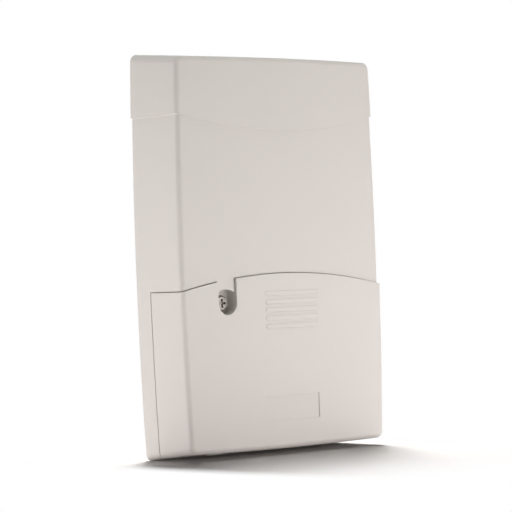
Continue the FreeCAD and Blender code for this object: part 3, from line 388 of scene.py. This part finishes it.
def groupFinish(slot, p, group, values, feeds):
    # A material whose skin takes what varies from a shared group, and the rest as fixed values
    mat = bpy.data.materials.new(slot)
    mat.use_nodes = True
    tree = mat.node_tree
    link = tree.links.new
    skin = tree.nodes["Principled BSDF"]
    for label, amount in p["fixed"].items():
        skin.inputs[label].default_value = amount
    pattern = newNode(tree, "Group", values, node_tree=group)
    for label, socket in feeds.items():
        link(pattern.outputs[label], skin.inputs[socket])
    soft = newNode(tree, "Bevel", {"Radius": p["edgeRadius"]}, samples=edgeSamples)
    bump = newNode(tree, "Bump", {"Strength": p["bump"], "Distance": p["grainDepth"]})
    link(soft.outputs["Normal"], bump.inputs["Normal"])
    link(pattern.outputs["Height"], bump.inputs["Height"])
    link(bump.outputs["Normal"], skin.inputs["Normal"])
    finishes[slot] = mat


def grainFinish(slot, p, group, scales):
    values = {"Color": (*p["color"], 1), "Shade": (*p["shade"], 1),
              "Gloss Low": p["gloss"][0], "Gloss High": p["gloss"][1], **scales}
    groupFinish(slot, p, group, values, {"Color": "Base Color", "Roughness": "Roughness"})


def mouldedPlastic(slot, p):
    grainFinish(slot, p, mouldGrainGroup, {"Grain Scale": p["grainScale"], "Drift Scale": p["driftScale"]})


def drawnMetal(slot, p):
    grainFinish(slot, p, drawnGrainGroup, {"Line Scale": p["lineScale"], "Stain Scale": p["stainScale"]})


def circuitBoard(slot, p):
    values = {"Resist": (*p["resist"], 1), "Track": (*p["track"], 1), "Pad": (*p["pad"], 1),
              "Cell": p["cell"], "Track Width": p["trackWidth"],
              "Pad Scale": p["padScale"], "Pad Size": p["padSize"]}
    groupFinish(slot, p, trackPatternGroup, values,
                {"Color": "Base Color", "Metallic": "Metallic", "Roughness": "Roughness"})


coverFinish = {
    "color": (0.655, 0.628, 0.600), "shade": (0.630, 0.606, 0.582), "grainScale": 5200.0, "driftScale": 28.0,
    "gloss": (0.42, 0.56), "bump": 0.25, "grainDepth": 0.00002, "edgeRadius": 0.00018,
    "fixed": {"Specular IOR Level": 0.4},
}
mouldedPlastic("cover_plastic", coverFinish)

plateFinish = {
    "color": (0.60, 0.578, 0.552), "shade": (0.57, 0.55, 0.528), "grainScale": 2600.0, "driftScale": 22.0,
    "gloss": (0.5, 0.68), "bump": 0.4, "grainDepth": 0.00003, "edgeRadius": 0.00015,
    "fixed": {"Specular IOR Level": 0.4},
}
mouldedPlastic("plate_plastic", plateFinish)

screwFinish = {
    "color": (0.34, 0.32, 0.29), "shade": (0.25, 0.235, 0.215), "lineScale": (3000.0, 500.0, 3000.0),
    "stainScale": 900.0, "gloss": (0.5, 0.68), "bump": 0.3, "grainDepth": 0.00001, "edgeRadius": 0.00012,
    "fixed": {"Metallic": 1.0},
}
drawnMetal("screw_steel", screwFinish)

springFinish = {
    "color": (0.60, 0.60, 0.61), "shade": (0.50, 0.50, 0.52), "lineScale": (2500.0, 600.0, 2500.0),
    "stainScale": 800.0, "gloss": (0.22, 0.36), "bump": 0.2, "grainDepth": 0.00001, "edgeRadius": 0.00005,
    "fixed": {"Metallic": 1.0},
}
drawnMetal("spring_steel", springFinish)

terminalMetalFinish = {
    "color": (0.70, 0.70, 0.69), "shade": (0.58, 0.58, 0.58), "lineScale": (900.0, 900.0, 7000.0),
    "stainScale": 700.0, "gloss": (0.26, 0.42), "bump": 0.25, "grainDepth": 0.00001, "edgeRadius": 0.00008,
    "fixed": {"Metallic": 1.0},
}
drawnMetal("terminal_metal", terminalMetalFinish)

shieldFinish = {
    "color": (0.72, 0.72, 0.72), "shade": (0.63, 0.63, 0.64), "lineScale": (150.0, 150.0, 6000.0),
    "stainScale": 160.0, "gloss": (0.24, 0.36), "bump": 0.2, "grainDepth": 0.00001, "edgeRadius": 0.0002,
    "fixed": {"Metallic": 1.0},
}
drawnMetal("shield_metal", shieldFinish)

antennaFinish = {
    "color": (0.66, 0.66, 0.66), "shade": (0.55, 0.55, 0.56), "lineScale": (4000.0, 4000.0, 300.0),
    "stainScale": 260.0, "gloss": (0.2, 0.34), "bump": 0.2, "grainDepth": 0.00001, "edgeRadius": 0.00005,
    "fixed": {"Metallic": 1.0},
}
drawnMetal("antenna_metal", antennaFinish)

leadFinish = {
    "color": (0.74, 0.74, 0.73), "shade": (0.62, 0.62, 0.61), "lineScale": (1500.0, 1500.0, 5000.0),
    "stainScale": 1200.0, "gloss": (0.28, 0.4), "bump": 0.2, "grainDepth": 0.00001, "edgeRadius": 0.00004,
    "fixed": {"Metallic": 1.0},
}
drawnMetal("lead_metal", leadFinish)

pinFinish = {
    "color": (0.80, 0.62, 0.25), "shade": (0.70, 0.52, 0.20), "lineScale": (2500.0, 400.0, 2500.0),
    "stainScale": 700.0, "gloss": (0.2, 0.32), "bump": 0.2, "grainDepth": 0.00001, "edgeRadius": 0.00006,
    "fixed": {"Metallic": 1.0},
}
drawnMetal("pin_metal", pinFinish)

canFinish = {
    "color": (0.75, 0.75, 0.76), "shade": (0.66, 0.66, 0.67), "lineScale": (200.0, 8000.0, 200.0),
    "stainScale": 200.0, "gloss": (0.26, 0.4), "bump": 0.25, "grainDepth": 0.00001, "edgeRadius": 0.0002,
    "fixed": {"Metallic": 1.0},
}
drawnMetal("capacitor_can", canFinish)

boardFinish = {
    "resist": (0.03, 0.22, 0.09), "track": (0.06, 0.30, 0.12), "pad": (0.70, 0.69, 0.66), "cell": 170.0,
    "trackWidth": 0.05, "padScale": 230.0, "padSize": 0.14, "bump": 0.5, "grainDepth": 0.00004,
    "edgeRadius": 0.0001, "fixed": {"Specular IOR Level": 0.5, "Coat Weight": 0.3, "Coat Roughness": 0.2},
}
circuitBoard("board_laminate", boardFinish)

receiverFinish = {
    "resist": (0.03, 0.12, 0.24), "track": (0.06, 0.18, 0.34), "pad": (0.78, 0.62, 0.30), "cell": 300.0,
    "trackWidth": 0.06, "padScale": 420.0, "padSize": 0.16, "bump": 0.5, "grainDepth": 0.00003,
    "edgeRadius": 0.0001, "fixed": {"Specular IOR Level": 0.5, "Coat Weight": 0.3, "Coat Roughness": 0.2},
}
circuitBoard("receiver_laminate", receiverFinish)

terminalPlasticFinish = {
    "color": (0.05, 0.30, 0.14), "shade": (0.04, 0.25, 0.12), "grainScale": 4000.0, "driftScale": 60.0,
    "gloss": (0.34, 0.46), "bump": 0.2, "grainDepth": 0.00002, "edgeRadius": 0.00015,
    "fixed": {"Specular IOR Level": 0.5},
}
mouldedPlastic("terminal_plastic", terminalPlasticFinish)

blackPlasticFinish = {
    "color": (0.030, 0.030, 0.031), "shade": (0.022, 0.022, 0.023), "grainScale": 4200.0, "driftScale": 80.0,
    "gloss": (0.36, 0.5), "bump": 0.2, "grainDepth": 0.00002, "edgeRadius": 0.0001,
    "fixed": {"Specular IOR Level": 0.5},
}
mouldedPlastic("black_plastic", blackPlasticFinish)

plungerFinish = {
    "color": (0.80, 0.80, 0.78), "shade": (0.76, 0.76, 0.74), "grainScale": 5000.0, "driftScale": 120.0,
    "gloss": (0.3, 0.4), "bump": 0.15, "grainDepth": 0.00001, "edgeRadius": 0.0001,
    "fixed": {"Specular IOR Level": 0.5, "Subsurface Weight": 0.1, "Subsurface Scale": 0.001},
}
mouldedPlastic("plunger_plastic", plungerFinish)

chipFinish = {
    "color": (0.040, 0.040, 0.042), "shade": (0.032, 0.032, 0.034), "grainScale": 9000.0, "driftScale": 150.0,
    "gloss": (0.5, 0.66), "bump": 0.35, "grainDepth": 0.00002, "edgeRadius": 0.00006,
    "fixed": {"Specular IOR Level": 0.45},
}
mouldedPlastic("chip_resin", chipFinish)

lampFinish = {
    "color": (0.75, 0.10, 0.05), "shade": (0.66, 0.07, 0.035), "grainScale": 1500.0, "driftScale": 200.0,
    "gloss": (0.06, 0.14), "bump": 0.05, "grainDepth": 0.00001, "edgeRadius": 0.0001,
    "fixed": {"Specular IOR Level": 0.5, "Subsurface Weight": 0.25, "Subsurface Scale": 0.001},
}
mouldedPlastic("lamp_lens", lampFinish)

jumperFinish = {
    "color": (0.05, 0.12, 0.45), "shade": (0.04, 0.10, 0.38), "grainScale": 3500.0, "driftScale": 120.0,
    "gloss": (0.18, 0.3), "bump": 0.15, "grainDepth": 0.00001, "edgeRadius": 0.00012,
    "fixed": {"Specular IOR Level": 0.5},
}
mouldedPlastic("jumper_plastic", jumperFinish)

resistorFinish = {
    "color": (0.05, 0.05, 0.055), "shade": (0.038, 0.038, 0.042), "grainScale": 9000.0, "driftScale": 400.0,
    "gloss": (0.3, 0.45), "bump": 0.2, "grainDepth": 0.00001, "edgeRadius": 0.00005,
    "fixed": {"Specular IOR Level": 0.5},
}
mouldedPlastic("resistor_body", resistorFinish)

chipCapacitorFinish = {
    "color": (0.52, 0.40, 0.25), "shade": (0.46, 0.35, 0.21), "grainScale": 9000.0, "driftScale": 400.0,
    "gloss": (0.36, 0.5), "bump": 0.2, "grainDepth": 0.00001, "edgeRadius": 0.00005,
    "fixed": {"Specular IOR Level": 0.5},
}
mouldedPlastic("chip_capacitor_body", chipCapacitorFinish)

for node in nodes.values():
    for place in node.material_slots:
        place.material = finishes[place.material.name]
print("finishes set on", len(nodes), "nodes:", len(finishes))


# Spring of the tamper switch: a copy of its coil, fixed to the case in place of the model's own part

tamperSpring = {
    "joint": "tamper_plunger_slide",
    "travel": 0.0006,
    "slot": "spring_steel",
}


def addTamperSpring(p):
    coil = bpy.data.objects.new("tamperSpringCoil", nodes["tamper_spring"].data.copy())
    bpy.context.scene.collection.objects.link(coil)
    coil.material_slots[0].material = finishes[p["slot"]]
    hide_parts("tamper_spring")
    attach(coil, "case")
    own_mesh(coil)


addTamperSpring(tamperSpring)
print("tamper spring fitted")
